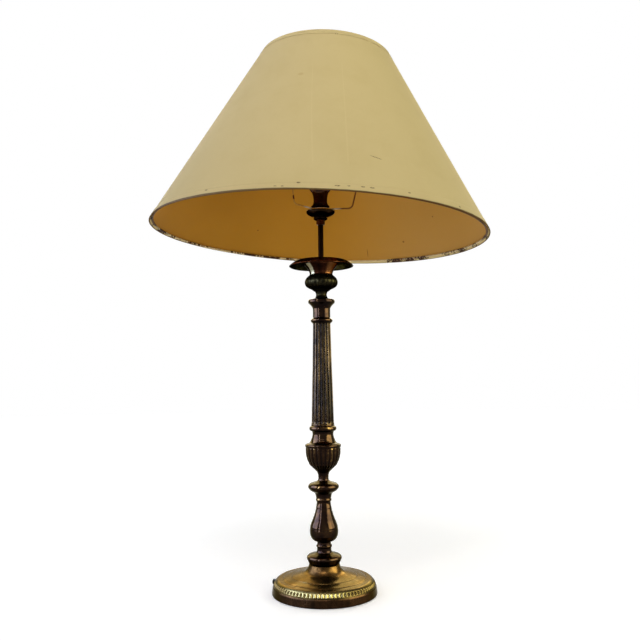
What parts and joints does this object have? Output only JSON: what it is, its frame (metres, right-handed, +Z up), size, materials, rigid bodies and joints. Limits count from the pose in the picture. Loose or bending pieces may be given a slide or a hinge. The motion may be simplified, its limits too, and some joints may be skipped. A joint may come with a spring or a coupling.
{
  "type": "table lamp",
  "caption": "Candlestick table lamp: round gadrooned brass foot, turned and fluted stem, drip pan, bare tube and a large cone shade on a wire spider.",
  "frame": {"origin": "centre of the felt face that the lamp stands on, on the stem's axis", "axes": "+Z up along the stem; -Y is the front as pictured; +X is to the viewer's right"},
  "size_m": [0.5003, 0.501, 0.7999],
  "materials": {
    "foot_brass": "aged, half polished",
    "stem_brass": "aged, dark in the hollows",
    "pan_brass": "dark, tarnished",
    "tube_brass": "dark, tarnished",
    "holder_brass": "satin",
    "contact_brass": "plain",
    "plated_steel": "zinc plated",
    "cast_iron": "as cast",
    "felt": "felt",
    "inlet_plastic": "matt",
    "porcelain": "glazed",
    "solder": "dull",
    "black_glass": "gloss",
    "bulb_metal": "satin",
    "pearl_glass": "pearl",
    "clear_glass": "clear",
    "tungsten": "drawn",
    "frame_wire": "thin pale lacquer, rubbed",
    "shade_card": "matt laminated card, cream outside",
    "shade_tape": "matt tape"
  },
  "bodies": {
    "lamp_body": {"felt_pad": "felt", "base_weight": "cast_iron", "base_foot": "foot_brass", "cord_inlet": "inlet_plastic", "lock_washer": "plated_steel", "lock_nut": "plated_steel", "lamp_tube": "tube_brass", "stem_collar": "stem_brass", "pear_baluster": "stem_brass", "spool": "stem_brass", "urn": "stem_brass", "urn_shoulder": "stem_brass", "fluted_column": "stem_brass", "column_capital": "stem_brass", "candle_knop": "stem_brass", "candle_cup": "stem_brass", "cup_plug": "pan_brass", "drip_pan": "pan_brass", "pan_nut": "tube_brass", "dish_nut": "tube_brass", "shade_dish": "holder_brass", "holder_cap": "holder_brass", "holder_shell": "holder_brass", "holder_insulator": "porcelain", "holder_sleeve": "contact_brass", "holder_contact": "contact_brass", "terminal_screws": "plated_steel"},
    "shade": {"spider_ring": "frame_wire", "spider_arm_back": "frame_wire", "spider_arm_left": "frame_wire", "spider_arm_right": "frame_wire", "shade_top_ring": "frame_wire", "shade_bottom_ring": "frame_wire", "shade_cover": "shade_card", "shade_top_trim": "shade_tape", "shade_bottom_trim": "shade_tape"},
    "bulb_tip": {"bulb_contact": "solder"},
    "bulb": {"bulb_insulator": "black_glass", "bulb_cap": "bulb_metal", "bulb_glass": "pearl_glass", "bulb_stem": "clear_glass", "bulb_filament": "tungsten"}
  },
  "joints": [
    {"name": "shade_turn", "type": "hinge", "parent": "lamp_body", "child": "shade", "pos_m": [0, 0, 0.5605], "axis": [0, 0, 1], "continuous": true},
    {"name": "bulb_rise", "type": "slide", "parent": "lamp_body", "child": "bulb_tip", "axis": [0, 0, 1], "range_m": [0, 0.01089]},
    {"name": "bulb_unscrew", "type": "hinge", "parent": "bulb_tip", "child": "bulb", "pos_m": [0, 0, 0.62], "axis": [0, 0, 1], "range_deg": [0, 1080]}
  ],
  "couplings": [
    {"joint": "bulb_unscrew", "follows": "bulb_rise", "rad_per_m": 1730.9}
  ]
}
